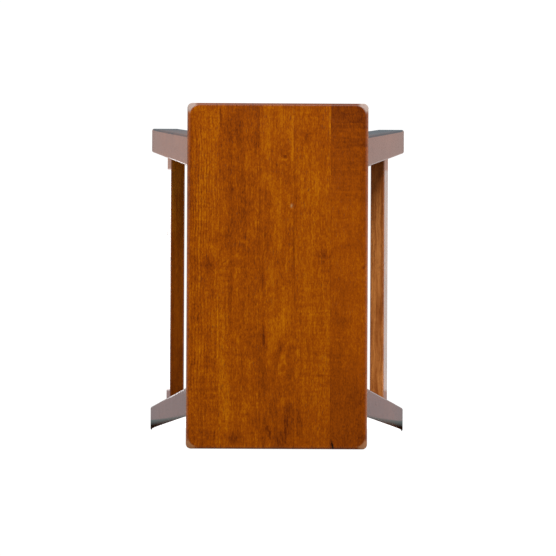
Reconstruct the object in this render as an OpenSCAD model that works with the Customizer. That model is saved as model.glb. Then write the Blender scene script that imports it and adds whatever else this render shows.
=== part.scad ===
// Splay-legged wooden stand: an edge-glued top on four splayed legs, joined by
// tenoned aprons under the top and by dowelled stretchers lower down.
// Millimetres. The origin is on the floor below the middle of the top, +Z is up,
// +X is across the top and +Y is along it, towards the back.

/* [Top] */
// Length of the top, front to back
top_l = 458; // [400:1:520]
// Width of the top, side to side
top_w = 240; // [220:1:280]
// Thickness of the top
top_t = 25; // [20:1:30]
// Radius of the rounded upper edges of the top
top_edge_r = 3.5; // [2:0.5:6]
// Radius of the arc that each softened corner leaves on the top face
corner_arc_r = 15; // [10:1:20]
// Depth of the softened corners
corner_drop = 5; // [3:0.5:8]

/* [Legs] */
// Height of the whole stand
stand_h = 610; // [450:5:760]
// How far the legs' outer faces stand in from the top's long edges
leg_inset_x = 11.5; // [8:0.5:20]
// How far the legs' outer faces stand in from the top's short edges
leg_inset_y = 43; // [30:1:60]
// Leg width, measured level, where it meets the top
leg_top = 45; // [42:1:50]
// Leg width at the foot, side to side
leg_foot_x = 42; // [36:1:45]
// Leg width at the foot, front to back
leg_foot_y = 37; // [34:1:45]
// How far each leg splays to its side
splay_x = 87.5; // [60:0.5:100]
// How far each leg splays towards its end
splay_y = 48.5; // [30:0.5:60]
// Radius of the legs' rounded edges
leg_edge_r = 3; // [2:0.5:5]

/* [Aprons] */
// Height of the aprons
apron_h = 58; // [50:1:70]
// Thickness of the aprons and stretchers
rail_t = 20.5; // [18:0.5:22]
// How far the aprons and stretchers stand in from the legs' outer faces
rail_inset = 6.5; // [5:0.5:8]
// Radius of the rounded edges of the aprons and stretchers
rail_edge_r = 2.5; // [1:0.5:4]
// Thickness of the apron tenons
tenon_t = 9; // [8:0.5:10]
// Length of the apron tenons
tenon_l = 19; // [15:1:20]

/* [Stretchers] */
// Height of the side stretchers' upper edge above the floor
side_stretcher_z = 220; // [150:5:240]
// Height of the end stretchers' upper edge above the floor
end_stretcher_z = 305; // [300:5:340]
// Height of the stretchers' section
stretcher_h = 50; // [40:1:55]
// Diameter of the dowels
dowel_d = 8; // [6:1:10]
// Length of the dowels
dowel_l = 34; // [26:1:36]

/* [Corner blocks] */
// Height of the corner blocks
block_h = 40; // [34:1:44]
// Thickness of the corner blocks, across their diagonal
block_t = 22; // [20:1:26]
// Diameter of the screws' shanks
screw_d = 4; // [3:0.5:4.5]

/* [Glides] */
// Diameter of the foot glides
glide_d = 24; // [18:1:28]
// Thickness of the foot glides
glide_t = 5; // [4:0.5:6]

/* [Hidden] */

// Relative widths of the top's five staves, from left to right
STAVE_SHARES = [43, 53, 47, 47.5, 49.5];
// Radius of the top's outline at its corners, and of its lower edges
OUTLINE_R = 3;
UNDER_EDGE_R = 1.5;

WOOD = [0.56, 0.27, 0.04];
DARK_WOOD = [0.43, 0.19, 0.03];
LEG_WOOD = [0.50, 0.34, 0.28];
PALE_WOOD = [0.80, 0.66, 0.47];
ZINC = [0.75, 0.74, 0.70];
PLASTIC = [0.12, 0.09, 0.07];

$fn = 64;

// Room left around a glued tenon or dowel, and past its end
GLUE_GAP = 0.1;
END_GAP = 1;
// Overshoot of a cutting tool past the face it cuts
CUT = 1;

under_z = stand_h - top_t;
leg_h = under_z - glide_t;

// Position of the leg's faces at height z: out is the face away from the middle, in the face
// towards it
function along(z, at_top, at_foot) = at_foot + (at_top - at_foot) * (z - glide_t) / leg_h;
top_out_x = top_w / 2 - leg_inset_x;
top_out_y = top_l / 2 - leg_inset_y;
foot_out_x = top_out_x + splay_x;
foot_out_y = top_out_y + splay_y;
function out_x(z) = along(z, top_out_x, foot_out_x);
function out_y(z) = along(z, top_out_y, foot_out_y);
function in_x(z) = along(z, top_out_x - leg_top, foot_out_x - leg_foot_x);
function in_y(z) = along(z, top_out_y - leg_top, foot_out_y - leg_foot_y);

// Depth of the middle of an apron or stretcher below the leg's outer face
rail_mid = rail_inset + rail_t / 2;

// Screws
SCREW_HEAD_D = 8;
SCREW_HEAD_H = 2.6;
SCREW_TIP_H = 4;
RECESS_W = 1.2;
RECESS_H = 1.4;
APRON_SCREW_L = 25;
TOP_SCREW_L = 42;
// Depth of the counterbore under each screw's head
APRON_BORE_H = 6;
TOP_BORE_H = 12;
BORE_D = 9.5;

// The nail that is driven up into the leg from each glide
NAIL_D = 2.4;
NAIL_L = 18;
NAIL_HEAD_D = 6;
NAIL_HEAD_H = 1.2;
NAIL_SINK = 1.8;

// ---- outlines ----

// Unit vector, a vector turned a quarter to the left, and the point where two lines meet, each
// given as a point and a direction
function unit(v) = v / norm(v);
function left_of(d) = [-d[1], d[0]];
function cross_2d(a, b) = a[0] * b[1] - a[1] * b[0];
function meet(p, d, q, e) = p + d * cross_2d(q - p, e) / cross_2d(d, e);

// Centre of the arc that rounds corner i of an outline that runs anticlockwise
function edge_dir(pts, i) = unit(pts[(i + 1) % len(pts)] - pts[i % len(pts)]);
function arc_centre(pts, i, r) =
    let (n = len(pts), before = edge_dir(pts, i + n - 1), after = edge_dir(pts, i))
    meet(pts[i] + left_of(before) * r, before, pts[i] + left_of(after) * r, after);

// Outline with true arcs of radius r at its corners
module rounded_outline(pts, r) {
    n = len(pts);
    centres = [for (i = [0:n - 1]) arc_centre(pts, i, r)];
    polygon([for (i = [0:n - 1])
        each [centres[i] - left_of(edge_dir(pts, i + n - 1)) * r,
              centres[i] - left_of(edge_dir(pts, i)) * r]]);
    for (c = centres) translate(c) circle(r = r);
}

// An outline drawn in X and Z, extruded along Y, and one drawn in Y and Z, extruded along X
module along_y(from, to) {
    translate([0, to, 0]) rotate([90, 0, 0]) linear_extrude(to - from) children();
}
module along_x(from, to) {
    translate([from, 0, 0]) rotate([90, 0, 90]) linear_extrude(to - from) children();
}

// Carries a piece of the back right corner to another: side is -1 for left, end is -1 for front
module at_corner(side, end) {
    mirror([side < 0 ? 1 : 0, 0, 0]) mirror([0, end < 0 ? 1 : 0, 0]) children();
}

// ---- top ----

// Section of the top: rounded above, eased below
module top_section(w) {
    translate([-w / 2, UNDER_EDGE_R]) square([w, top_t - UNDER_EDGE_R - top_edge_r]);
    translate([-w / 2 + top_edge_r, UNDER_EDGE_R]) square([w - 2 * top_edge_r, top_t - UNDER_EDGE_R]);
    translate([-w / 2 + UNDER_EDGE_R, 0]) square([w - 2 * UNDER_EDGE_R, UNDER_EDGE_R + CUT]);
    for (s = [-1, 1]) {
        translate([s * (w / 2 - top_edge_r), top_t - top_edge_r]) circle(r = top_edge_r);
        translate([s * (w / 2 - UNDER_EDGE_R), UNDER_EDGE_R]) circle(r = UNDER_EDGE_R);
    }
}

// What the softened corner takes off: everything outside a cone about the corner arc's centre
module corner_waste() {
    reach = corner_arc_r + 2 * corner_drop;
    translate([top_w / 2 - corner_arc_r, top_l / 2 - corner_arc_r, stand_h - corner_drop])
        difference() {
            cube([reach, reach, corner_drop + CUT]);
            translate([0, 0, -corner_drop])
                cylinder(h = 2 * corner_drop + CUT,
                         r1 = corner_arc_r * (2 * sqrt(2) - 1),
                         r2 = corner_arc_r * (1 - (sqrt(2) - 1) * CUT / corner_drop));
        }
}

module top_blank() {
    half_w = top_w / 2;
    half_l = top_l / 2;
    difference() {
        intersection() {
            translate([0, 0, under_z]) along_y(-half_l, half_l) top_section(top_w);
            translate([0, 0, under_z]) along_x(-half_w, half_w) top_section(top_l);
            translate([0, 0, under_z]) linear_extrude(top_t)
                rounded_outline([[-half_w, -half_l], [half_w, -half_l], [half_w, half_l], [-half_w, half_l]],
                                OUTLINE_R);
        }
        for (side = [-1, 1], end = [-1, 1]) at_corner(side, end) corner_waste();
    }
}

function total(v, n) = n == 0 ? 0 : v[n - 1] + total(v, n - 1);
function seam_x(n) = top_w * (total(STAVE_SHARES, n) / total(STAVE_SHARES, len(STAVE_SHARES)) - 1 / 2);

module top_stave(n) {
    color(WOOD)
        difference() {
            intersection() {
                top_blank();
                translate([seam_x(n - 1), -top_l / 2 - CUT, under_z - CUT])
                    cube([seam_x(n) - seam_x(n - 1), top_l + 2 * CUT, top_t + 2 * CUT]);
            }
            top_screw_places() screw_hole(TOP_SCREW_L);
        }
}

// ---- legs ----

// Rounded slice of a leg at height z
module leg_slice(z, thick) {
    translate([0, 0, z]) linear_extrude(thick)
        rounded_outline([[in_x(z), in_y(z)], [out_x(z), in_y(z)], [out_x(z), out_y(z)], [in_x(z), out_y(z)]],
                        leg_edge_r);
}

// One leg, at the back right, before its joints are cut
module leg_blank() {
    slice_t = 0.01;
    hull() {
        leg_slice(glide_t, slice_t, $fn = 32);
        leg_slice(under_z - slice_t, slice_t, $fn = 32);
    }
}

module leg(side, end) {
    color(LEG_WOOD)
        difference() {
            at_corner(side, end) leg_blank();
            side_tenons(side, GLUE_GAP, END_GAP);
            end_tenons(end, GLUE_GAP, END_GAP);
            dowel_places() cylinder(d = dowel_d + 2 * GLUE_GAP, h = dowel_l + 2 * END_GAP, center = true);
            glide_places() nail();
        }
}

// ---- aprons and stretchers ----

// Section of a member that leans with the legs' outer face, from z_low to z_high
module leaning_section(face, z_low, z_high, thick, r) {
    near = rail_mid - thick / 2;
    far = rail_mid + thick / 2;
    pts = face == "x"
        ? [[out_x(z_low) - far, z_low], [out_x(z_low) - near, z_low],
           [out_x(z_high) - near, z_high], [out_x(z_high) - far, z_high]]
        : [[out_y(z_low) - far, z_low], [out_y(z_low) - near, z_low],
           [out_y(z_high) - near, z_high], [out_y(z_high) - far, z_high]];
    if (r > 0) rounded_outline(pts, r);
    else polygon(pts);
}

// What lies between the legs' inner faces, carried on by extra at both ends
module between_y(z_low, z_high, extra) {
    low = in_y(z_low) + extra;
    high = in_y(z_high) + extra;
    polygon([[-low, z_low], [low, z_low], [high, z_high], [-high, z_high]]);
}
module between_x(z_low, z_high, extra) {
    low = in_x(z_low) + extra;
    high = in_x(z_high) + extra;
    polygon([[-low, z_low], [low, z_low], [high, z_high], [-high, z_high]]);
}

module side_member(side, z_low, z_high, thick, r, extra) {
    at_corner(side, 1) intersection() {
        along_y(-foot_out_y, foot_out_y) leaning_section("x", z_low, z_high, thick, r);
        along_x(0, foot_out_x) between_y(z_low, z_high, extra);
    }
}
module end_member(end, z_low, z_high, thick, r, extra) {
    at_corner(1, end) intersection() {
        along_x(-foot_out_x, foot_out_x) leaning_section("y", z_low, z_high, thick, r);
        along_y(0, foot_out_y) between_x(z_low, z_high, extra);
    }
}

// The tenons at both ends of an apron, in one bar, grown by gap for the mortises
TENON_SHOULDER = 8;
tenon_low = under_z - apron_h + TENON_SHOULDER;
tenon_high = under_z - TENON_SHOULDER;
module side_tenons(side, gap = 0, end_gap = 0) {
    side_member(side, tenon_low - gap, tenon_high + gap, tenon_t + 2 * gap, 0, tenon_l + end_gap);
}
module end_tenons(end, gap = 0, end_gap = 0) {
    end_member(end, tenon_low - gap, tenon_high + gap, tenon_t + 2 * gap, 0, tenon_l + end_gap);
}

module side_apron(side) {
    color(DARK_WOOD)
        difference() {
            union() {
                side_member(side, under_z - apron_h, under_z, rail_t, rail_edge_r, 0);
                side_tenons(side);
            }
            apron_screw_places() screw_hole(APRON_SCREW_L);
        }
}
module end_apron(end) {
    color(DARK_WOOD)
        difference() {
            union() {
                end_member(end, under_z - apron_h, under_z, rail_t, rail_edge_r, 0);
                end_tenons(end);
            }
            apron_screw_places() screw_hole(APRON_SCREW_L);
        }
}

module side_stretcher(side) {
    color(DARK_WOOD)
        difference() {
            side_member(side, side_stretcher_z - stretcher_h, side_stretcher_z, rail_t, rail_edge_r, 0);
            dowel_places() cylinder(d = dowel_d + 2 * GLUE_GAP, h = dowel_l + 2 * END_GAP, center = true);
        }
}
module end_stretcher(end) {
    color(DARK_WOOD)
        difference() {
            end_member(end, end_stretcher_z - stretcher_h, end_stretcher_z, rail_t, rail_edge_r, 0);
            dowel_places() cylinder(d = dowel_d + 2 * GLUE_GAP, h = dowel_l + 2 * END_GAP, center = true);
        }
}

// Middle of each dowel, with Z turned along it: two at each end of each stretcher
DOWEL_STATIONS = [0.27, 0.73];
module dowel_places() {
    for (side = [-1, 1], end = [-1, 1], share = DOWEL_STATIONS) at_corner(side, end) {
        z_side = side_stretcher_z - share * stretcher_h;
        z_end = end_stretcher_z - share * stretcher_h;
        translate([out_x(z_side) - rail_mid, in_y(z_side), z_side]) rotate([90, 0, 0]) children();
        translate([in_x(z_end), out_y(z_end) - rail_mid, z_end]) rotate([0, 90, 0]) children();
    }
}

DOWEL_CHAMFER = 1;
module dowel() {
    straight = dowel_l - 2 * DOWEL_CHAMFER;
    cylinder(d = dowel_d, h = straight, center = true);
    for (s = [0, 1]) mirror([0, 0, s]) translate([0, 0, straight / 2])
        cylinder(d1 = dowel_d, d2 = dowel_d - 2 * DOWEL_CHAMFER, h = DOWEL_CHAMFER);
}

module stretcher_dowels() {
    color(PALE_WOOD) dowel_places() dowel();
}

// ---- corner blocks ----

// Distance from the leg's inner edge to the block's outer diagonal face
BLOCK_CLEAR = 2;
block_z = under_z - block_h;
block_far = in_x(under_z) + in_y(under_z) - BLOCK_CLEAR;
block_near = block_far - block_t * sqrt(2);

// Inner face of the side and end aprons at height z
function apron_x(z) = out_x(z) - rail_inset - rail_t;
function apron_y(z) = out_y(z) - rail_inset - rail_t;

// A diagonal bar, trimmed to the leaning inner faces of the two aprons
module corner_block_blank() {
    intersection() {
        translate([0, 0, block_z]) linear_extrude(block_h)
            polygon([[0, block_near], [0, block_far], [block_far, 0], [block_near, 0]]);
        along_y(0, top_l)
            polygon([[0, block_z], [apron_x(block_z), block_z], [apron_x(under_z), under_z], [0, under_z]]);
        along_x(0, top_w)
            polygon([[0, block_z], [apron_y(block_z), block_z], [apron_y(under_z), under_z], [0, under_z]]);
    }
}

module corner_block(side, end) {
    color(PALE_WOOD)
        difference() {
            at_corner(side, end) corner_block_blank();
            apron_screw_places() {
                screw_hole(APRON_SCREW_L);
                translate([0, 0, -block_t]) cylinder(d = BORE_D, h = block_t);
            }
            top_screw_places() {
                screw_hole(TOP_SCREW_L);
                translate([0, 0, -TOP_BORE_H - CUT]) cylinder(d = BORE_D, h = TOP_BORE_H + CUT);
            }
        }
}

// Middle of each apron screw's head, with Z turned along the screw: one screw into each apron
// from every block
block_mid_z = under_z - block_h / 2;
screw_side_y = (block_near + block_far) / 2 - apron_x(block_mid_z);
screw_end_x = (block_near + block_far) / 2 - apron_y(block_mid_z);
module apron_screw_places() {
    for (side = [-1, 1], end = [-1, 1]) at_corner(side, end) {
        translate([block_near - screw_side_y + APRON_BORE_H, screw_side_y, block_mid_z])
            rotate([0, 90, 0]) children();
        translate([screw_end_x, block_near - screw_end_x + APRON_BORE_H, block_mid_z])
            rotate([-90, 0, 0]) children();
    }
}

// The same for the screws that go up into the top: two through each block
TOP_SCREW_STATIONS = [0.38, 0.62];
module top_screw_places() {
    middle = (block_near + block_far) / 2;
    for (side = [-1, 1], end = [-1, 1], share = TOP_SCREW_STATIONS) at_corner(side, end) {
        span = apron_x(under_z) + apron_y(under_z) - middle;
        x = middle - apron_y(under_z) + share * span;
        translate([x, middle - x, block_z + TOP_BORE_H]) children();
    }
}

module screw_hole(length) {
    cylinder(d = screw_d, h = length);
    translate([0, 0, -CUT]) cylinder(d = SCREW_HEAD_D, h = CUT);
    cylinder(d1 = SCREW_HEAD_D, d2 = screw_d, h = SCREW_HEAD_H);
}

// Countersunk wood screw with a cross recess; its head's face is at the origin
module screw(length) {
    difference() {
        union() {
            cylinder(d = screw_d, h = length - SCREW_TIP_H);
            cylinder(d1 = SCREW_HEAD_D, d2 = screw_d, h = SCREW_HEAD_H);
            translate([0, 0, length - SCREW_TIP_H]) cylinder(d1 = screw_d, d2 = 0, h = SCREW_TIP_H);
        }
        for (turn = [0, 90]) rotate([0, 0, turn])
            translate([-SCREW_HEAD_D / 4, -RECESS_W / 2, -CUT])
                cube([SCREW_HEAD_D / 2, RECESS_W, RECESS_H + CUT]);
    }
}

module apron_screws() {
    color(ZINC) apron_screw_places() screw(APRON_SCREW_L);
}
module top_screws() {
    color(ZINC) top_screw_places() screw(TOP_SCREW_L);
}

// ---- glides ----

// Centre of each foot, on the floor
module glide_place(side, end) {
    at_corner(side, end)
        translate([foot_out_x - leg_foot_x / 2, foot_out_y - leg_foot_y / 2, 0]) children();
}
module glide_places() {
    for (side = [-1, 1], end = [-1, 1]) glide_place(side, end) children();
}

GLIDE_EDGE = 1.5;
module glide(side, end) {
    color(PLASTIC)
        glide_place(side, end)
            difference() {
                union() {
                    cylinder(d1 = glide_d - 2 * GLIDE_EDGE, d2 = glide_d, h = GLIDE_EDGE);
                    translate([0, 0, GLIDE_EDGE]) cylinder(d = glide_d, h = glide_t - GLIDE_EDGE);
                }
                nail();
                translate([0, 0, -CUT]) cylinder(d = NAIL_HEAD_D, h = NAIL_SINK + CUT);
            }
}

// Nail of a glide, sunk into the glide's underside
module nail() {
    translate([0, 0, NAIL_SINK]) {
        cylinder(d = NAIL_HEAD_D, h = NAIL_HEAD_H);
        cylinder(d = NAIL_D, h = NAIL_L);
    }
}
module glide_nails() {
    color(ZINC) glide_places() nail();
}

top_stave(1);  // top_stave_1
top_stave(2);  // top_stave_2
top_stave(3);  // top_stave_3
top_stave(4);  // top_stave_4
top_stave(5);  // top_stave_5
leg(-1, 1);  // leg_back_left
leg(1, 1);  // leg_back_right
leg(-1, -1);  // leg_front_left
leg(1, -1);  // leg_front_right
side_apron(-1);  // side_apron_left
side_apron(1);  // side_apron_right
end_apron(-1);  // end_apron_front
end_apron(1);  // end_apron_back
side_stretcher(-1);  // side_stretcher_left
side_stretcher(1);  // side_stretcher_right
end_stretcher(-1);  // end_stretcher_front
end_stretcher(1);  // end_stretcher_back
corner_block(-1, 1);  // corner_block_back_left
corner_block(1, 1);  // corner_block_back_right
corner_block(-1, -1);  // corner_block_front_left
corner_block(1, -1);  // corner_block_front_right
stretcher_dowels();
apron_screws();
top_screws();
glide(-1, 1);  // glide_back_left
glide(1, 1);  // glide_back_right
glide(-1, -1);  // glide_front_left
glide(1, -1);  // glide_front_right
glide_nails();
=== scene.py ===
"""Splay-legged wooden stand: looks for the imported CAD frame, in metres, +Z up, +Y to the back."""

import math

import bmesh
import bpy
from mathutils import Matrix, Vector


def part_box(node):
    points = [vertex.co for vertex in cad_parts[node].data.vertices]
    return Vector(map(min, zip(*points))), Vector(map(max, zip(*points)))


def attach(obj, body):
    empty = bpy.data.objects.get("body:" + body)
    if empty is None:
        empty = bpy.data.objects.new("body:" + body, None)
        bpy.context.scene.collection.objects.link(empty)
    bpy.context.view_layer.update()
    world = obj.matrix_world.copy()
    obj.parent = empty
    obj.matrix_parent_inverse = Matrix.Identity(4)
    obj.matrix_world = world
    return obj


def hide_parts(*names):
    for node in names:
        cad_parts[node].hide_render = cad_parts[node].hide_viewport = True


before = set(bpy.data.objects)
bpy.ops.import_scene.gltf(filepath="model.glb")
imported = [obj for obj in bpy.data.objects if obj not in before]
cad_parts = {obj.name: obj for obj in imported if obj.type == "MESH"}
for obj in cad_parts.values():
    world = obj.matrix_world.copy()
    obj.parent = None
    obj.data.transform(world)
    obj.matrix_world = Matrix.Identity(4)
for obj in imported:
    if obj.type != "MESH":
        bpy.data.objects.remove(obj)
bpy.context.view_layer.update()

BODY = "root"
STAVES = ["top_stave_%d" % n for n in range(1, 6)]
LEGS = ["leg_back_left", "leg_back_right", "leg_front_left", "leg_front_right"]
SIDES = ("left", "right")
ENDS = ("front", "back")

top_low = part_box(STAVES[0])[0]
top_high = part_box(STAVES[-1])[1]
HALF_W = top_high.x
HALF_L = top_high.y


def placed(name, data):
    """A new object in the scene."""
    made = bpy.data.objects.new(name, data)
    bpy.context.scene.collection.objects.link(made)
    return made


# ---------------------------------------------------------------- node graphs

class Graph:
    """The node tree of a material or world, with one short call for each kind of node."""

    def __init__(self, owner):
        owner.use_nodes = True
        self.owner = owner
        self.tree = owner.node_tree
        self.tree.nodes.clear()

    def add(self, kind, inputs=None, **settings):
        made = self.tree.nodes.new(kind)
        for key, value in settings.items():
            setattr(made, key, value)
        for key, value in (inputs or {}).items():
            self.put(made.inputs[key], value)
        return made

    def put(self, socket, value):
        if isinstance(value, bpy.types.NodeSocket):
            self.tree.links.new(value, socket)
        elif value is not None:
            socket.default_value = value

    def math(self, operation, a, b=None):
        made = self.add("ShaderNodeMath", {0: a}, operation=operation)
        self.put(made.inputs[1], b)
        return made.outputs[0]

    def plus(self, *terms):
        total = terms[0]
        for term in terms[1:]:
            total = self.math("ADD", total, term)
        return total

    def times(self, *factors):
        product = factors[0]
        for factor in factors[1:]:
            product = self.math("MULTIPLY", product, factor)
        return product

    def minus(self, a, b):
        return self.math("SUBTRACT", a, b)

    def absolute(self, value):
        return self.math("ABSOLUTE", value)

    def coordinates(self, kind="Object"):
        return self.add("ShaderNodeTexCoord").outputs[kind]

    def seen(self):
        """1 where the camera looks at the surface itself, 0 in reflections and in its light."""
        return self.add("ShaderNodeLightPath").outputs["Is Camera Ray"]

    def scaled(self, value, low, high, to_low=0.0, to_high=1.0, smooth=True):
        """value carried from low..high to to_low..to_high, and held at the ends of that range."""
        made = self.add(
            "ShaderNodeMapRange",
            {"Value": value, "From Min": low, "From Max": high, "To Min": to_low, "To Max": to_high},
            interpolation_type="SMOOTHSTEP" if smooth else "LINEAR",
        )
        return made.outputs["Result"]

    def mapping(self, vector, scale=(1, 1, 1), rotation=(0, 0, 0), location=(0, 0, 0)):
        made = self.add(
            "ShaderNodeMapping",
            {"Vector": vector, "Scale": scale, "Rotation": rotation, "Location": location},
        )
        return made.outputs["Vector"]

    def split(self, vector):
        return self.add("ShaderNodeSeparateXYZ", {0: vector}).outputs

    def join(self, x, y, z):
        return self.add("ShaderNodeCombineXYZ", {0: x, 1: y, 2: z}).outputs[0]

    def noise(self, vector, scale, detail=2.0, roughness=0.5, distortion=0.0):
        """Noise from 0 to 1, with a scale of its own along each axis, in cells per metre."""
        made = self.add(
            "ShaderNodeTexNoise",
            {
                "Vector": self.mapping(vector, scale=scale),
                "Scale": 1.0,
                "Detail": detail,
                "Roughness": roughness,
                "Distortion": distortion,
            },
        )
        return made.outputs["Fac"]

    def ramp(self, value, stops, smooth=True):
        made = self.add("ShaderNodeValToRGB", {0: value})
        made.color_ramp.interpolation = "B_SPLINE" if smooth else "LINEAR"
        elements = made.color_ramp.elements
        while len(elements) < len(stops):
            elements.new(0.5)
        for element, (place, _) in zip(elements, stops):
            element.position = place
        for element, (_, colour) in zip(elements, stops):
            element.color = (*colour, 1.0)
        return made.outputs["Color"]

    def curve(self, value, low, high, heights):
        """A smooth height along value, through heights spaced evenly from low to high."""
        place = self.scaled(value, low, high, smooth=False)
        last = len(heights) - 1
        stops = [(i / last, (h, h, h)) for i, h in enumerate(heights)]
        return self.ramp(place, stops)

    def stained(self, tone, dark, mid, light):
        """The colour of wood by its tone: dark at 0, mid at 0.5 and light at 1."""
        return self.ramp(tone, [(0.0, dark), (0.5, mid), (1.0, light)], smooth=False)

    def mix(self, amount, a, b):
        made = self.add("ShaderNodeMix", data_type="RGBA", blend_type="MIX", clamp_factor=True)
        colour = [s for s in made.inputs if s.type == "RGBA"]
        self.put(made.inputs[0], amount)
        self.put(colour[0], a if isinstance(a, bpy.types.NodeSocket) else (*a, 1.0))
        self.put(colour[1], b if isinstance(b, bpy.types.NodeSocket) else (*b, 1.0))
        return [s for s in made.outputs if s.type == "RGBA"][0]

    def oval(self, x, y, centre, size):
        """1 at the centre of an oval, falling smoothly to 0 a little outside it."""
        dx = self.times(self.minus(x, centre[0]), 1 / size[0])
        dy = self.times(self.minus(y, centre[1]), 1 / size[1])
        square = self.plus(self.times(dx, dx), self.times(dy, dy))
        return self.math("EXPONENT", self.times(square, -1.0))

    def leaned(self, x, y, middle, lean):
        """x sheared along y about y = middle, for marks that lie at a slant."""
        return self.plus(x, self.times(self.minus(y, middle), lean))

    def close(self, shader, output="ShaderNodeOutputMaterial"):
        """Sends the shader to the output. Returns the material or the world."""
        self.tree.links.new(shader.outputs[0], self.add(output).inputs["Surface"])
        return self.owner

    def surface(self, colour, roughness, height, bump_depth, **sockets):
        """Closes the graph with a Principled surface, bumped by height times bump_depth, in metres."""
        shader = self.add("ShaderNodeBsdfPrincipled")
        self.put(shader.inputs["Base Color"], colour)
        self.put(shader.inputs["Roughness"], roughness)
        for key, value in sockets.items():
            self.put(shader.inputs[key.replace("_", " ")], value)
        bump = self.add("ShaderNodeBump", {"Height": height, "Distance": bump_depth, "Strength": 1.0})
        self.put(shader.inputs["Normal"], bump.outputs["Normal"])
        return self.close(shader)


# ---------------------------------------------------------------- wood

SWAY = 0.008
STAIN_IOR = 1.46
PORE_ROUGHNESS = 0.12
PORE_HEIGHT = -0.7
FIBRE_HEIGHT = 0.35


def wobbled(g, place):
    """place with its grain lines made gently wavy, by a millimetre or two."""
    x, y, z = g.split(place)[0:3]
    sway = g.noise(place, (16, 20, 16), detail=3, roughness=0.55)
    return g.join(g.plus(x, g.times(g.minus(sway, 0.5), SWAY)), y, z)


def wood_grain(g, place, strength):
    """Tone of straight-grained wood about 0: broad bands, streaks, hair lines, blotches and flecks.

    place has Y along the grain. Returns the tone, and the pores as dark flecks from 0 to 1."""
    layers = {
        "bands": g.noise(place, (75, 2.5, 40), detail=2, distortion=0.5),
        "streaks": g.noise(place, (270, 14, 150), detail=3, roughness=0.6),
        "hairs": g.noise(place, (620, 22, 400), detail=2, roughness=0.6),
        "blotches": g.noise(place, (46, 30, 34), detail=4, roughness=0.65, distortion=0.8),
        "fibres": g.noise(place, (400, 115, 300), detail=3, roughness=0.75),
        "specks": g.noise(place, (760, 330, 400), detail=1, roughness=0.6),
    }
    tone = g.plus(*[g.times(g.minus(layer, 0.5), strength[key]) for key, layer in layers.items()])
    flecks = g.noise(place, (620, 95, 400), detail=2, roughness=0.7)
    where = g.scaled(g.noise(place, (40, 12, 40), detail=2), 0.38, 0.62)
    pores = g.times(g.scaled(flecks, 0.56, 0.70), g.plus(g.times(where, 0.75), 0.25))
    return tone, pores


def grain_height(g, place, pores, fineness):
    """Height of planed wood for the bump: sunken pores between fine ridges along the grain."""
    return g.plus(g.times(pores, PORE_HEIGHT), g.times(g.noise(place, fineness, detail=2), FIBRE_HEIGHT))


# Colours are linear light
STAIN_DARK = (0.115, 0.018, 0.0010)
STAIN_MID = (0.315, 0.063, 0.0005)
STAIN_LIGHT = (0.55, 0.170, 0.0010)
PORE = (0.10, 0.018, 0.001)
END_GRAIN = (0.07, 0.018, 0.003)
# Rim and corner colours below mix wear with painted highlight and painted reflection
WORN_EDGE_AND_HIGHLIGHT = (0.44, 0.21, 0.11)
CORNER_WEAR_AND_REFLECTION = (0.48, 0.37, 0.32)
CORNER_WEAR_FRONT = (0.50, 0.23, 0.09)
NICK = (0.50, 0.33, 0.14)
CRACK = (0.010, 0.004, 0.002)

KNOT_BEND = 0.75
KNOT_RINGS = 8.0
KNOT_RING_TONE = -0.13
KNOT_PIN_TONE = -0.20
SEAM_FADE = (0.0009, 0.0002)
SEAM_TONE = -0.16
CRACK_DARKNESS = 1.8
END_GRAIN_AMOUNT = 0.85
RIM_DEPTH = (0.0045, 0.0025)
# How strongly painted shade darkens the back-facing rim of the top
BACK_RIM_PAINTED_SHADE = 0.7
CORNER_REACH = (0.016, 0.004)
CORNER_DEPTH = (0.010, 0.006)
TOP_BUMP = 0.00004
TOP_ROUGHNESS = 0.20
RIM_DULL = 0.30
BACK_RIM_DULL = 0.35
TOP_SMEAR = 0.10


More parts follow.
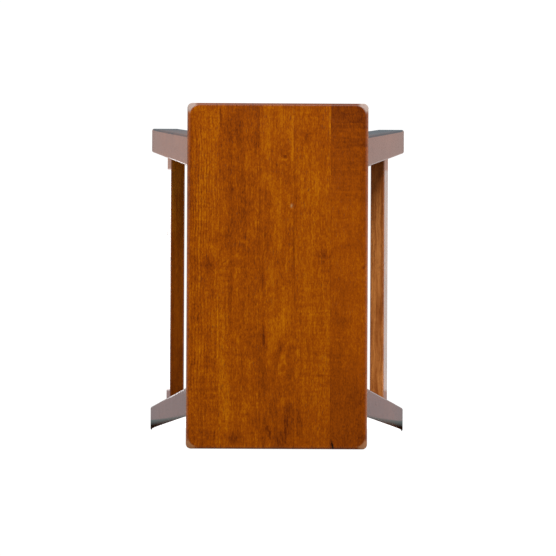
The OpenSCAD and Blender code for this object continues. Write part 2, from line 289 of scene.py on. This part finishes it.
def stave_material(name, node, offset, tones, strength, extras):
    """Glossy orange-brown stained wood for one stave of the top, with its own figure and wear, and painted
    highlight, shade and reflection on its rim and corners.
    """
    g = Graph(bpy.data.materials.new(name))
    low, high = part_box(node)
    position = g.coordinates()
    x, y, z = g.split(position)[0:3]
    knots = extras.get("knots", [])
    bent_x = x
    for centre, size, _ in knots:
        bow = g.oval(x, y, centre, (size * 2.2, size * 3.6))
        bent_x = g.minus(bent_x, g.times(g.minus(x, centre[0]), bow, KNOT_BEND))
    place = wobbled(g, g.mapping(g.join(bent_x, y, z), location=offset))
    tone, pores = wood_grain(g, place, strength)

    ripple = g.noise(place, (18, 210, 18), detail=2, distortion=0.5)
    ripple_where = g.scaled(g.noise(place, (14, 9, 14), detail=1), 0.48, 0.66)
    for centre, size in extras.get("ripples", []):
        ripple_where = g.plus(ripple_where, g.oval(x, y, centre, size))
    ripple_tone = g.times(g.minus(ripple, 0.5), ripple_where, strength["ripple"])
    tone = g.plus(tone, g.curve(y, -HALF_L, HALF_L, tones), ripple_tone)

    ragged = g.noise(place, (260, 90, 200), detail=3, roughness=0.7)
    for centre, size, lean, change in extras.get("shades", []):
        leaned_x = g.leaned(x, y, centre[1], lean)
        patch = g.times(g.oval(leaned_x, y, centre, size), g.scaled(ragged, 0.25, 0.6, 0.35, 1.25))
        tone = g.plus(tone, g.times(patch, change))
    for centre, size, spacing, change in extras.get("lines", []):
        phase = g.plus(g.times(g.split(place)[0], 2 * math.pi / spacing), g.times(ragged, 3.0))
        line = g.times(g.scaled(g.math("SINE", phase), 0.1, 1.0), g.oval(x, y, centre, size))
        tone = g.plus(tone, g.times(line, change))
    for centre, size, change in knots:
        across = g.minus(1.0, g.oval(x, y, centre, (size, size * 1.3)))
        rings = g.math("SINE", g.times(across, KNOT_RINGS))
        heart = g.oval(x, y, centre, (size * 1.2, size * 1.6))
        pin = g.oval(x, y, centre, (size * 0.28, size * 0.34))
        tone = g.plus(
            tone, g.times(rings, heart, KNOT_RING_TONE), g.times(heart, change), g.times(pin, KNOT_PIN_TONE))
    seam_x = g.math("MINIMUM", g.minus(x, low.x), g.minus(high.x, x))
    patchy = g.scaled(g.noise(place, (8, 26, 8), detail=2), 0.40, 0.62)
    tone = g.plus(tone, g.times(g.scaled(seam_x, *SEAM_FADE), patchy, SEAM_TONE))

    colour = g.stained(tone, STAIN_DARK, STAIN_MID, STAIN_LIGHT)
    colour = g.mix(g.times(pores, strength["pores"]), colour, PORE)
    for centre, size, lean in extras.get("cracks", []):
        leaned_x = g.leaned(x, y, centre[1], lean)
        colour = g.mix(g.times(g.oval(leaned_x, y, centre, size), CRACK_DARKNESS), colour, CRACK)
    for centre, size in extras.get("nicks", []):
        bare = g.times(g.oval(x, y, centre, size), g.scaled(ragged, 0.4, 0.6, 0.1, 0.7))
        colour = g.mix(bare, colour, NICK)

    normal = g.split(g.add("ShaderNodeNewGeometry").outputs["Normal"])
    wear_noise = g.noise(position, (60, 40, 60), detail=4, roughness=0.7)
    end = g.scaled(g.absolute(normal[1]), 0.80, 0.99)
    colour = g.mix(g.times(end, END_GRAIN_AMOUNT), colour, END_GRAIN)

    # The rounded rim round the top face: worn pale at the sides with a painted highlight mixed in, and dull
    # at the back and darkened there with painted shade
    leaning = g.minus(1.0, g.absolute(normal[2]))
    near_top = g.scaled(z, *[top_high.z - depth for depth in RIM_DEPTH])
    # Pale side rims: wear and a painted highlight, kept off the back-facing rim and the front end
    rub_and_highlight = g.times(
        g.scaled(leaning, 0.12, 0.45),
        near_top,
        g.scaled(wear_noise, 0.30, 0.6, 0.3, 1.0),
        g.scaled(y, -HALF_L, -HALF_L + 0.02, 0.0, 0.6),
        g.scaled(normal[1], 0.1, 0.4, 1.0, 0.15),
    )
    colour = g.mix(rub_and_highlight, colour, WORN_EDGE_AND_HIGHLIGHT)
    behind = g.times(g.scaled(normal[1], 0.05, 0.4), near_top)
    # Painted shade: the back-facing rim is darkened towards the dark stain
    colour = g.mix(g.times(behind, BACK_RIM_PAINTED_SHADE), colour, STAIN_DARK)

    # The four corners: worn through the stain outside the arc of the top face, with a painted reflection that
    # makes the back corners paler and stronger
    corner_x = g.scaled(g.absolute(x), *[HALF_W - reach for reach in CORNER_REACH], smooth=False)
    corner_y = g.scaled(g.absolute(y), *[HALF_L - reach for reach in CORNER_REACH], smooth=False)
    outside = g.plus(g.times(corner_x, corner_x), g.times(corner_y, corner_y))
    corner = g.times(
        g.scaled(outside, 0.95, 1.35),
        g.scaled(y, -HALF_L, HALF_L, 0.70, 0.95),
        g.scaled(z, *[top_high.z - depth for depth in CORNER_DEPTH]),
        g.scaled(wear_noise, 0.2, 0.6, 0.6, 1.0),
    )
    # Painted reflection: the back corners take a pale, whitish colour over the wear
    corner_colour = g.mix(g.scaled(y, -HALF_L, HALF_L), CORNER_WEAR_FRONT, CORNER_WEAR_AND_REFLECTION)
    colour = g.mix(corner, colour, corner_colour)

    roughness = g.plus(
        TOP_ROUGHNESS,
        g.times(pores, PORE_ROUGHNESS),
        g.times(g.scaled(leaning, 0.02, 0.20), near_top, RIM_DULL),
        g.times(behind, BACK_RIM_DULL),
        g.times(g.minus(wear_noise, 0.5), TOP_SMEAR),
    )
    height = grain_height(g, place, pores, (500, 12, 300))
    return g.surface(colour, roughness, height, TOP_BUMP, IOR=STAIN_IOR)


TONES_END = 0.18
FOOT_FADE = 0.22
# Painted shade that darkens the legs towards the floor
FOOT_PAINTED_SHADE = (0.008, 0.004, 0.002)
PORE_SHADE = 0.35
SMEAR = 0.12


def plain_wood_material(
    name, rotation, offset, colours, strength, roughness, bump_depth, tones=(0.5, 0.5), foot=0.0
):
    """Straight-grained wood. rotation lays the piece's length along Y, where the grain runs.

    tones run from -TONES_END to TONES_END in the stand's own Y, and foot is how strongly painted shade
    darkens the wood by the floor."""
    g = Graph(bpy.data.materials.new(name))
    position = g.coordinates()
    place = wobbled(g, g.mapping(position, rotation=rotation, location=offset))
    tone, pores = wood_grain(g, place, strength)
    y, z = g.split(position)[1:3]
    tone = g.plus(tone, g.curve(y, -TONES_END, TONES_END, tones))
    colour = g.stained(tone, *colours)
    pore_colour = tuple(c * PORE_SHADE for c in colours[0])
    colour = g.mix(g.times(pores, strength["pores"]), colour, pore_colour)
    if foot:
        # Painted shade: the wood darkens towards the floor
        colour = g.mix(g.scaled(z, 0.0, FOOT_FADE, foot, 0.0), colour, FOOT_PAINTED_SHADE)
    smear = g.noise(position, (30, 30, 30), detail=4, roughness=0.6)
    rough = g.plus(roughness, g.times(pores, PORE_ROUGHNESS), g.times(g.minus(smear, 0.5), SMEAR))
    height = grain_height(g, place, pores, (700, 9, 300))
    return g.surface(colour, rough, height, bump_depth, IOR=STAIN_IOR)


# ---------------------------------------------------------------- mesh helpers

SMOOTH_ANGLE = math.radians(30)


def finish_piece(name, bm, material, node):
    """Turns a closed mesh into a visible piece, which stands in for a CAD node and rides with the body."""
    bmesh.ops.recalc_face_normals(bm, faces=bm.faces)
    mesh = bpy.data.meshes.new(name)
    bm.to_mesh(mesh)
    bm.free()
    mesh.materials.append(material)
    for polygon in mesh.polygons:
        polygon.use_smooth = True
    mesh.set_sharp_from_angle(angle=SMOOTH_ANGLE)
    piece = placed(name, mesh)
    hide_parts(node)
    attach(piece, BODY)


def rounded_ring(low, high, radius, steps):
    """Points round a rectangle with arcs of that radius at its corners, anticlockwise from above."""
    centres = [
        (high.x - radius, high.y - radius, 0),
        (low.x + radius, high.y - radius, 90),
        (low.x + radius, low.y + radius, 180),
        (high.x - radius, low.y + radius, 270),
    ]
    points = []
    for cx, cy, start in centres:
        for i in range(steps + 1):
            angle = math.radians(start + 90 * i / steps)
            points.append(Vector((cx + radius * math.cos(angle), cy + radius * math.sin(angle))))
    return points


def loft(rings):
    """Closed mesh through rings of 3-D points, all of the same length, capped at both ends."""
    bm = bmesh.new()
    rows = [[bm.verts.new(p) for p in ring] for ring in rings]
    count = len(rows[0])
    for lower, upper in zip(rows, rows[1:]):
        for i in range(count):
            j = (i + 1) % count
            bm.faces.new((lower[i], lower[j], upper[j], upper[i]))
    bm.faces.new(list(reversed(rows[0])))
    bm.faces.new(rows[-1])
    return bm


# ---------------------------------------------------------------- top

TOP_EDGE_R = 0.0035
UNDER_EDGE_R = 0.0015
CORNER_TOP_R = 0.015
CORNER_OUTLINE_R = 0.003
CORNER_DROP = 0.0055
CORNER_STEPS = 14
EDGE_STEPS = 8


def top_blank():
    """The whole top before it is split: its corners soften from a tight outline to a wide arc."""
    levels = []
    for i in range(EDGE_STEPS + 1):
        angle = math.radians(90 * i / EDGE_STEPS)
        inset = UNDER_EDGE_R * (1 - math.sin(angle))
        levels.append((top_low.z + UNDER_EDGE_R * (1 - math.cos(angle)), inset))
    for i in range(EDGE_STEPS + 1):
        angle = math.radians(90 * i / EDGE_STEPS)
        inset = TOP_EDGE_R * (1 - math.cos(angle))
        levels.append((top_high.z - TOP_EDGE_R * (1 - math.sin(angle)), inset))
    rings = []
    for z, inset in levels:
        rise = min(max((z - top_high.z + CORNER_DROP) / CORNER_DROP, 0), 1)
        soft = rise * rise * (3 - 2 * rise)
        radius = CORNER_OUTLINE_R + (CORNER_TOP_R - CORNER_OUTLINE_R) * soft
        low = Vector((top_low.x + inset, top_low.y + inset))
        high = Vector((top_high.x - inset, top_high.y - inset))
        rings.append([Vector((p.x, p.y, z)) for p in rounded_ring(low, high, radius, CORNER_STEPS)])
    return loft(rings)


def cut_to(bm, x, keep_right):
    """Cuts a closed mesh at a plane square to X and closes it again, keeping the part on one side."""
    geometry = list(bm.verts) + list(bm.edges) + list(bm.faces)
    cut = bmesh.ops.bisect_plane(
        bm, geom=geometry, plane_co=(x, 0, 0), plane_no=(1, 0, 0),
        clear_inner=keep_right, clear_outer=not keep_right,
    )
    rim = [e for e in cut["geom_cut"] if isinstance(e, bmesh.types.BMEdge)]
    bmesh.ops.contextual_create(bm, geom=rim)


def stave_piece(node, material):
    """One stave's slice of the whole top."""
    low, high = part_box(node)
    bm = top_blank()
    if node != STAVES[0]:
        cut_to(bm, low.x, True)
    if node != STAVES[-1]:
        cut_to(bm, high.x, False)
    finish_piece(node.replace("stave", "board"), bm, material, node)


STRENGTH = {
    "bands": 0.30, "streaks": 0.42, "hairs": 0.45, "blotches": 0.48, "fibres": 0.98, "specks": 0.55,
    "ripple": 0.40, "pores": 0.55,
}

# Each stave's tones run from the front end to the back end, and its figure lies where the photo has it.
# A centre is (x, y) and a size is its (half width, half length), in metres. A change is how much lighter,
# or with a minus how much darker, the wood gets. The marks are:
#   knots (centre, radius, change)            shades (centre, size, lean, change)
#   lines (centre, size, spacing, change)     ripples and nicks (centre, size)
#   cracks (centre, size, lean)
STAVE_LOOKS = {
    "top_stave_1": dict(
        offset=(1.3, 0.2, 0.0),
        tones=(0.46, 0.45, 0.54, 0.50, 0.51, 0.57, 0.55, 0.55, 0.55),
        strength={**STRENGTH, "streaks": 0.55, "specks": 0.70, "hairs": 0.60},
        extras=dict(
            shades=[
                ((-0.082, 0.049), (0.006, 0.008), 0, -0.22), ((-0.088, 0.015), (0.007, 0.007), 0, -0.22),
                ((-0.116, 0.130), (0.004, 0.070), 0, -0.16), ((-0.100, 0.120), (0.010, 0.050), 0, 0.12),
                ((-0.085, -0.020), (0.004, 0.020), 0, -0.12), ((-0.0785, -0.075), (0.0008, 0.050), 0, 0.30),
                ((-0.093, 0.200), (0.010, 0.012), 0, 0.08), ((-0.100, -0.095), (0.014, 0.010), 0, 0.10),
                ((-0.100, -0.215), (0.018, 0.008), 0, -0.12),
            ],
            lines=[
                ((-0.101, 0.110), (0.012, 0.090), 0.0036, -0.34),
                ((-0.108, -0.080), (0.014, 0.110), 0.0043, -0.22),
            ],
        ),
    ),
    "top_stave_2": dict(
        offset=(2.7, 1.1, 0.0),
        tones=(0.42, 0.50, 0.49, 0.51, 0.46, 0.39, 0.38, 0.40, 0.42),
        strength={**STRENGTH, "pores": 0.65, "fibres": 1.15, "bands": 0.55, "blotches": 0.60},
        extras=dict(
            shades=[
                ((-0.052, 0.192), (0.007, 0.009), 0.2, -0.06), ((-0.042, 0.150), (0.003, 0.035), 0, 0.14),
                ((-0.0755, 0.215), (0.0012, 0.012), 0, -0.35), ((-0.045, -0.140), (0.007, 0.020), 0, -0.15),
                ((-0.036, -0.080), (0.004, 0.016), 0, -0.12), ((-0.064, -0.160), (0.006, 0.040), 0, 0.10),
                ((-0.060, -0.215), (0.016, 0.007), 0, -0.18), ((-0.030, 0.100), (0.005, 0.050), 0, 0.12),
            ],
            ripples=[((-0.045, 0.045), (0.020, 0.030))],
        ),
    ),
    "top_stave_3": dict(
        offset=(4.1, 0.7, 0.0),
        tones=(0.34, 0.40, 0.39, 0.55, 0.45, 0.48, 0.51, 0.50, 0.53),
        strength={**STRENGTH, "bands": 0.55, "blotches": 0.70},
        extras=dict(
            knots=[((0.0100, 0.157), 0.0035, 0.08), ((0.0082, -0.122), 0.0060, 0.10)],
            shades=[
                ((-0.0175, -0.081), (0.0018, 0.014), 0.05, -0.42),
                ((-0.0100, -0.206), (0.0030, 0.010), 0.22, -0.45),
                ((0.0060, -0.093), (0.005, 0.010), 0, -0.26), ((0.0085, -0.107), (0.0030, 0.007), 0, 0.26),
                ((0.0130, -0.195), (0.0045, 0.020), -0.08, -0.28),
                ((0.0040, -0.214), (0.006, 0.010), 0.1, -0.22),
                ((0.0098, 0.1592), (0.0030, 0.0013), 0, -0.30), ((0.0100, 0.1547), (0.0028, 0.0014), 0, 0.24),
                ((0.0095, -0.060), (0.0014, 0.014), 0, 0.24), ((0.0145, -0.052), (0.0020, 0.006), 0, 0.14),
                ((0.0070, 0.163), (0.004, 0.006), 0, -0.14), ((-0.0190, -0.009), (0.0020, 0.010), 0, -0.25),
                ((0.0195, 0.170), (0.0012, 0.045), 0, 0.26), ((0.0060, -0.169), (0.006, 0.008), 0, 0.12),
                ((-0.0130, 0.060), (0.004, 0.050), 0, -0.16), ((-0.0100, -0.130), (0.008, 0.020), 0, -0.10),
                ((0.0030, -0.060), (0.008, 0.020), 0, 0.10), ((0.0190, 0.040), (0.0016, 0.045), 0, 0.16),
            ],
            nicks=[((0.0190, 0.093), (0.0016, 0.0022))],
        ),
    ),
    "top_stave_4": dict(
        offset=(5.9, 1.9, 0.0),
        tones=(0.41, 0.51, 0.51, 0.52, 0.51, 0.51, 0.52, 0.48, 0.48),
        strength={**STRENGTH, "pores": 0.60, "bands": 0.18, "blotches": 0.32},
        extras=dict(
            shades=[
                ((0.0385, 0.184), (0.004, 0.008), 0, -0.26), ((0.0620, 0.028), (0.008, 0.006), 0.2, -0.26),
                ((0.0270, -0.100), (0.0018, 0.006), 0, 0.30), ((0.0670, -0.065), (0.0040, 0.025), 0, 0.14),
                ((0.0500, 0.120), (0.012, 0.030), 0, 0.10), ((0.0640, -0.110), (0.0050, 0.012), 0, 0.14),
                ((0.0250, 0.090), (0.0015, 0.030), 0, -0.22), ((0.0690, 0.205), (0.0010, 0.018), 0, 0.35),
                ((0.0290, -0.190), (0.0050, 0.025), 0, -0.12),
            ],
        ),
    ),
    "top_stave_5": dict(
        offset=(7.2, 0.4, 0.0),
        tones=(0.22, 0.28, 0.38, 0.48, 0.47, 0.52, 0.44, 0.33, 0.13),
        strength={
            **STRENGTH, "bands": 0.12, "streaks": 0.22, "hairs": 0.20, "fibres": 0.72, "pores": 0.30,
        },
        extras=dict(
            shades=[
                ((0.1020, 0.176), (0.018, 0.005), 0, -0.14), ((0.0980, 0.192), (0.020, 0.006), 0, 0.08),
                ((0.0870, -0.060), (0.010, 0.006), 0, -0.14), ((0.1140, 0.110), (0.006, 0.080), 0, -0.12),
                ((0.0950, 0.040), (0.012, 0.006), 0.3, -0.10), ((0.1140, 0.012), (0.002, 0.003), 0, -0.30),
            ],
            ripples=[((0.0950, 0.195), (0.040, 0.030))],
            cracks=[((0.0742, -0.2245), (0.0010, 0.0055), 0.22)],
        ),
    ),
}
for stave, look in STAVE_LOOKS.items():
    stave_piece(stave, stave_material(stave.replace("top", "stained"), stave, **look))


# ---------------------------------------------------------------- legs

LEG_TOP_W = 0.045
LEG_FOOT_X = 0.042
LEG_FOOT_Y = 0.037
LEG_EDGE_R = 0.0035
LEG_CORNER_STEPS = 6
LEG_FOOT_EASE = 0.002
LEG_EASE_STEPS = (0.0, 0.4, 1.0)
LEG_RINGS = 24

# Dark, middle and light, as for the other plain woods below
LEG_COLOURS = ((0.050, 0.011, 0.002), (0.11, 0.024, 0.003), (0.24, 0.070, 0.010))


def leg_outline(node):
    """The signs of the leg's X and Y, and its outer corner at the foot and at the top without them."""
    low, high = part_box(node)
    side = 1 if high.x + low.x > 0 else -1
    end = 1 if high.y + low.y > 0 else -1
    near_x, far_x = sorted((abs(low.x), abs(high.x)))
    near_y, far_y = sorted((abs(low.y), abs(high.y)))
    return side, end, Vector((far_x, far_y, low.z)), Vector((near_x + LEG_TOP_W, near_y + LEG_TOP_W, high.z))


def leg_piece(node, material):
    """Splayed, tapered leg with soft edges and an eased foot, between its CAD box's top and foot."""
    side, end, foot, top = leg_outline(node)
    length = top.z - foot.z
    stations = [step * LEG_FOOT_EASE / length for step in LEG_EASE_STEPS]
    stations += [i / LEG_RINGS for i in range(1, LEG_RINGS + 1)]
    rings = []
    for share in stations:
        out = foot.lerp(top, share)
        wide_x = LEG_FOOT_X + (LEG_TOP_W - LEG_FOOT_X) * share
        wide_y = LEG_FOOT_Y + (LEG_TOP_W - LEG_FOOT_Y) * share
        ease = max(0.0, 1 - share * length / LEG_FOOT_EASE)
        inset = LEG_FOOT_EASE * (1 - math.sqrt(1 - ease * ease))
        xs = sorted((side * (out.x - wide_x), side * out.x))
        ys = sorted((end * (out.y - wide_y), end * out.y))
        ring_low = Vector((xs[0] + inset, ys[0] + inset))
        ring_high = Vector((xs[1] - inset, ys[1] - inset))
        outline = rounded_ring(ring_low, ring_high, LEG_EDGE_R, LEG_CORNER_STEPS)
        rings.append([Vector((p.x, p.y, out.z)) for p in outline])
    finish_piece(node.replace("leg", "post"), loft(rings), material, node)


def leg_turn(node):
    """Rotation that lays the leg's length along the Y axis of its grain."""
    side, end, foot, top = leg_outline(node)
    run = Vector((side * (top.x - foot.x), end * (top.y - foot.y), top.z - foot.z))
    return run.rotation_difference(Vector((0, 1, 0))).to_euler()


LEG_GRAIN = {
    "bands": 1.2, "streaks": 0.6, "hairs": 0.25, "blotches": 0.8, "fibres": 0.35, "specks": 0.15,
    "pores": 0.4,
}
# Painted light and shade: each leg's tone is set lighter or darker for how light and reflections fall on it
LEG_PAINTED_LIGHT_TONES = {
    "leg_back_left": 0.85, "leg_back_right": 0.20, "leg_front_left": 0.45, "leg_front_right": 0.45,
}
for number, node in enumerate(LEGS):
    look = plain_wood_material(
        "stained_" + node, leg_turn(node), (3.1 * number, 0.7 * number, 1.9 * number),
        LEG_COLOURS, LEG_GRAIN, roughness=0.12, bump_depth=0.00001,
        tones=(LEG_PAINTED_LIGHT_TONES[node], LEG_PAINTED_LIGHT_TONES[node]), foot=0.8,
    )
    leg_piece(node, look)


# ---------------------------------------------------------------- aprons, stretchers, blocks

RAIL_COLOURS = ((0.13, 0.022, 0.001), (0.30, 0.070, 0.002), (0.50, 0.180, 0.010))
# The right side's colours are a lit copy of the rail wood, with painted haze
RIGHT_RAIL_LIT_COLOURS = ((0.15, 0.032, 0.005), (0.30, 0.085, 0.016), (0.54, 0.200, 0.048))
BARE_COLOURS = ((0.42, 0.25, 0.12), (0.60, 0.40, 0.22), (0.74, 0.56, 0.36))
RAIL_GRAIN = {
    "bands": 0.6, "streaks": 0.5, "hairs": 0.4, "blotches": 0.5, "fibres": 0.4, "specks": 0.2,
    "pores": 0.5,
}
# Painted light and shade on the long sides: the left side is darker, as shade under the top, and painted
# lighter towards its back end; the right side, lit, is darker at its back end with the painted shadow of the
# back-right leg
SIDE_LOOKS = {
    "left": dict(
        colours=RAIL_COLOURS, strength=RAIL_GRAIN, tones=(0.25, 0.25, 0.26, 0.32, 0.52, 0.75)),
    "right": dict(
        colours=RIGHT_RAIL_LIT_COLOURS,
        strength={**RAIL_GRAIN, "bands": 1.3, "streaks": 1.0, "hairs": 0.6},
        tones=(0.58, 0.58, 0.56, 0.58, 0.66, 0.80, 0.42, 0.35)),
}
SIDE_FINISH = dict(roughness=0.10, bump_depth=0.00003)
END_FINISH = dict(roughness=0.26, bump_depth=0.00012)
BARE_FINISH = dict(roughness=0.6, bump_depth=0.0002)
QUARTER = math.radians(90)


def dress(node, material):
    """Gives a carried-over CAD node a material in place of its own."""
    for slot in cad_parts[node].material_slots:
        slot.material = material


def place_in_log(number):
    """Where in the endless wood the piece of that number is cut from, so that no two look alike."""
    return (1.7 * number, 0.9 * number, 0.3)


number = 0
for side in SIDES:
    for member in ("side_apron_", "side_stretcher_"):
        number += 1
        dress(member + side, plain_wood_material(
            "stained_" + member + side, (0, 0, 0), place_in_log(number),
            **SIDE_LOOKS[side], **SIDE_FINISH))
for end in ENDS:
    for member in ("end_apron_", "end_stretcher_"):
        number += 1
        dress(member + end, plain_wood_material(
            "stained_" + member + end, (0, 0, QUARTER), place_in_log(number),
            RAIL_COLOURS, RAIL_GRAIN, **END_FINISH))
for end in ENDS:
    for side in SIDES:
        number += 1
        turn = QUARTER / 2 if (side == "right") == (end == "back") else -QUARTER / 2
        node = "corner_block_" + end + "_" + side
        dress(node, plain_wood_material(
            "bare_" + node, (0, 0, turn), place_in_log(number), BARE_COLOURS, RAIL_GRAIN, **BARE_FINISH))
dress("stretcher_dowels", plain_wood_material(
    "bare_dowels", (0, 0, 0), (0, 0, 0), BARE_COLOURS, RAIL_GRAIN, **BARE_FINISH))


def zinc_material():
    """Satin zinc plating, with a faint bloom."""
    g = Graph(bpy.data.materials.new("zinc_plating"))
    position = g.coordinates()
    bloom = g.noise(position, (300, 300, 300), detail=4, roughness=0.65)
    turned = g.noise(position, (900, 900, 4000), detail=2)
    colour = g.mix(g.scaled(bloom, 0.35, 0.7), (0.60, 0.58, 0.52), (0.72, 0.70, 0.60))
    rough = g.plus(0.28, g.times(bloom, 0.18))
    return g.surface(colour, rough, turned, 0.00005, Metallic=1.0)


def plastic_material():
    """Matt dark brown moulded plastic with scuffs."""
    g = Graph(bpy.data.materials.new("moulded_plastic"))
    position = g.coordinates()
    texture = g.noise(position, (1800, 1800, 1800), detail=2)
    scuffs = g.noise(position, (120, 120, 120), detail=5, roughness=0.7)
    colour = g.mix(g.scaled(scuffs, 0.5, 0.75), (0.022, 0.016, 0.013), (0.060, 0.050, 0.044))
    rough = g.plus(0.42, g.times(scuffs, 0.25))
    return g.surface(colour, rough, texture, 0.00008)


zinc = zinc_material()
for node in ("apron_screws", "top_screws", "glide_nails"):
    dress(node, zinc)
plastic = plastic_material()
for end in ENDS:
    for side in SIDES:
        dress("glide_" + end + "_" + side, plastic)


# ---------------------------------------------------------------- floor, light, camera

FLOOR_HALF = 12.0
SEEN_WHITE = 1.05

# What the floor gives to reflections: its colour by the back legs and by the front legs, and the
# strips beside the two long sides, behind the back feet and in front of the front feet
FLOOR_BY_BACK = (0.60, 0.43, 0.39)
FLOOR_BY_FRONT = (0.42, 0.345, 0.345)
FRONT_TO_BACK = (-0.1, 0.1)
FLOOR_RIGHT = (0.80, 0.79, 0.79)
FLOOR_LEFT = (2.6, 2.6, 2.6)
FLOOR_SLATE = (0.20, 0.25, 0.28)
FLOOR_SLATE_FRONT = (0.20, 0.255, 0.255)
FLOOR_DARK = (0.0, 0.0, 0.0)
FLOOR_BRIGHT = (2.6, 2.6, 2.6)

# Where those strips lie. The ones beside the sides fade in, fade out and end over these distances from
# the middle of the stand. The others run between two places in Y, and begin and end softly
BESIDE_FROM = (0.202, 0.204)
BESIDE_TO = (0.2240, 0.2260)
BESIDE_END = (0.169, 0.174)
BACK_SLATE = (0.2345, 0.30)
BACK_SLATE_FROM = 0.125
FRONT_DARK = (-0.2350, -0.2185)
FRONT_FADE = (-0.2290, -0.2185)
FRONT_BRIGHT = (-0.32, -0.2350)
STRIP_SOFT = 0.001


def make_floor():
    """Floor that is white to the camera and casts no shadow, but is graded in the glossy reflections."""
    g = Graph(bpy.data.materials.new("studio_floor"))
    x, y = g.split(g.coordinates())[0:2]

    def up_to(value, fade):
        return g.minus(1.0, g.scaled(value, *fade))

    def strip(low, high):
        begins = g.scaled(y, low - STRIP_SOFT, low + STRIP_SOFT)
        return g.times(begins, up_to(y, (high - STRIP_SOFT, high + STRIP_SOFT)))

    out_x = g.absolute(x)
    beside = g.times(
        g.scaled(out_x, *BESIDE_FROM), up_to(out_x, BESIDE_TO), up_to(g.absolute(y), BESIDE_END))
    beside_colour = g.mix(g.math("GREATER_THAN", x, 0.0), FLOOR_LEFT, FLOOR_RIGHT)
    behind = g.times(strip(*BACK_SLATE), g.math("GREATER_THAN", out_x, BACK_SLATE_FROM))
    front_colour = g.mix(g.scaled(y, *FRONT_FADE), FLOOR_DARK, FLOOR_SLATE_FRONT)
    glow = g.mix(g.scaled(y, *FRONT_TO_BACK), FLOOR_BY_FRONT, FLOOR_BY_BACK)
    glow = g.mix(beside, glow, beside_colour)
    glow = g.mix(behind, glow, FLOOR_SLATE)
    glow = g.mix(strip(*FRONT_DARK), glow, front_colour)
    glow = g.mix(strip(*FRONT_BRIGHT), glow, FLOOR_BRIGHT)
    colour = g.mix(g.seen(), glow, (SEEN_WHITE, SEEN_WHITE, SEEN_WHITE))
    material = g.close(g.add("ShaderNodeEmission", {"Color": colour, "Strength": 1.0}))
    mesh = bpy.data.meshes.new("studio_floor")
    signs = [(-1, -1), (1, -1), (1, 1), (-1, 1)]
    mesh.from_pydata([(a * FLOOR_HALF, b * FLOOR_HALF, 0) for a, b in signs], [], [(0, 1, 2, 3)])
    mesh.materials.append(material)
    floor = placed("studio_floor", mesh)


def area_light(name, azimuth, elevation, distance, size, power):
    """Soft rectangular light, aimed at the top. Azimuth is in degrees from the back to the right."""
    target = Vector((0, 0, top_high.z))
    turn, lift = math.radians(azimuth), math.radians(elevation)
    away = Vector((math.sin(turn) * math.cos(lift), math.cos(turn) * math.cos(lift), math.sin(lift)))
    data = bpy.data.lights.new(name, "AREA")
    data.shape = "RECTANGLE"
    data.size, data.size_y = size
    data.energy = power
    lamp = placed(name, data)
    lamp.location = target + away * distance
    lamp.rotation_mode = "QUATERNION"
    lamp.rotation_quaternion = away.to_track_quat("Z", "Y")


CEILING = 0.02
CEILING_EDGE = (0.72, 0.88)
WALL_BACK = 0.25
WALL_FRONT = 0.15
WALL_LEFT = 0.55
WALL_RIGHT = 1.0


def make_world():
    """White to the camera. To the stand, walls of unequal brightness and a dark ceiling, so that the
    top keeps its colour."""
    world = bpy.data.worlds.new("studio")
    bpy.context.scene.world = world
    g = Graph(world)
    x, y, z = g.split(g.coordinates("Generated"))[0:3]
    right = g.scaled(x, 0.25, 0.9, 0.0, WALL_RIGHT)
    left = g.scaled(x, -0.25, -0.9, 0.0, WALL_LEFT)
    ends = g.scaled(y, -0.5, 0.5, WALL_FRONT, WALL_BACK)
    wall = g.plus(right, left, ends)
    below = g.minus(1.0, g.scaled(z, *CEILING_EDGE))
    glow = g.math("MAXIMUM", g.times(wall, below), CEILING)
    glow = g.math("MAXIMUM", glow, g.times(g.seen(), SEEN_WHITE))
    background = g.add("ShaderNodeBackground", {"Color": (1, 1, 1, 1), "Strength": glow})
    g.close(background, "ShaderNodeOutputWorld")


make_floor()
make_world()
area_light("key", azimuth=7, elevation=40, distance=8.0, size=(3.0, 1.6), power=640)

# The camera looks down from well above the stand, from a little towards its front. FRAME_SPAN is the
# width of the picture at the height of the top, and the place and the aim are over the floor in X and Y
SENSOR = 36.0
CAMERA_RISE = 3.457
FRAME_SPAN = 0.7356
CAMERA_PLACE = (0.0013, -0.0353)
CAMERA_AIM = (0.0011, -0.0026)
CAMERA_ROLL = math.radians(0.28)
CLIP_START = 0.1
CLIP_END = 60.0


def make_camera():
    data = bpy.data.cameras.new("camera")
    data.sensor_width = SENSOR
    data.lens = SENSOR * CAMERA_RISE / FRAME_SPAN
    data.clip_start = CLIP_START
    data.clip_end = CLIP_END
    camera = placed("camera", data)
    place = Vector((*CAMERA_PLACE, top_high.z + CAMERA_RISE))
    back = (place - Vector((*CAMERA_AIM, top_high.z))).normalized()
    up = Vector((-math.sin(CAMERA_ROLL), math.cos(CAMERA_ROLL), 0))
    right = up.cross(back).normalized()
    up = back.cross(right)
    turn = Matrix((right, up, back)).transposed().to_4x4()
    camera.matrix_world = Matrix.Translation(place) @ turn
    bpy.context.scene.camera = camera


make_camera()
bpy.context.scene.view_settings.view_transform = "Standard"
